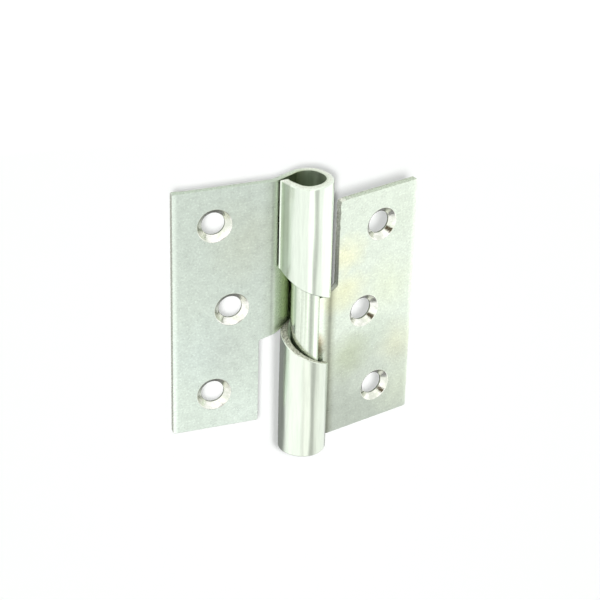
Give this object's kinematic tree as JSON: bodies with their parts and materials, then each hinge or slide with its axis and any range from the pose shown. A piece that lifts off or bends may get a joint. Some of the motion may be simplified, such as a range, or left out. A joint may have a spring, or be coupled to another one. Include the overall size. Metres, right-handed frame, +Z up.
{
  "type": "rising butt hinge",
  "caption": "Rising butt hinge of pressed zinc-plated steel, open past flat: slanted knuckle edges lift one leaf along the pin as it swings.",
  "frame": {"origin": "the pin's axis at the height of the frame leaf's lower edge", "axes": "+Z up along the pin's axis, +X along the frame leaf away from the pin, -Y the way the frame leaf's countersunk face looks"},
  "size_m": [0.0745, 0.0194, 0.0856],
  "materials": {
    "leaf_zinc": "bright zinc plate over pressed steel",
    "pin_zinc": "bright zinc plate over a smooth round pin"
  },
  "bodies": {
    "frame": {"frame_leaf": "leaf_zinc"},
    "pivot": {"pin": "pin_zinc"},
    "door": {"door_leaf": "leaf_zinc"}
  },
  "joints": [
    {"name": "leaf_swing", "type": "hinge", "parent": "frame", "child": "pivot", "pos_m": [0, 0, 0], "axis": [0, 0, -1], "range_deg": [-195, 75]},
    {"name": "leaf_rise", "type": "slide", "parent": "pivot", "child": "door", "axis": [0, 0, 1], "range_m": [-0.0114, 0.0044]}
  ],
  "couplings": [
    {"joint": "leaf_rise", "follows": "leaf_swing", "m_per_rad": 0.0033423}
  ]
}
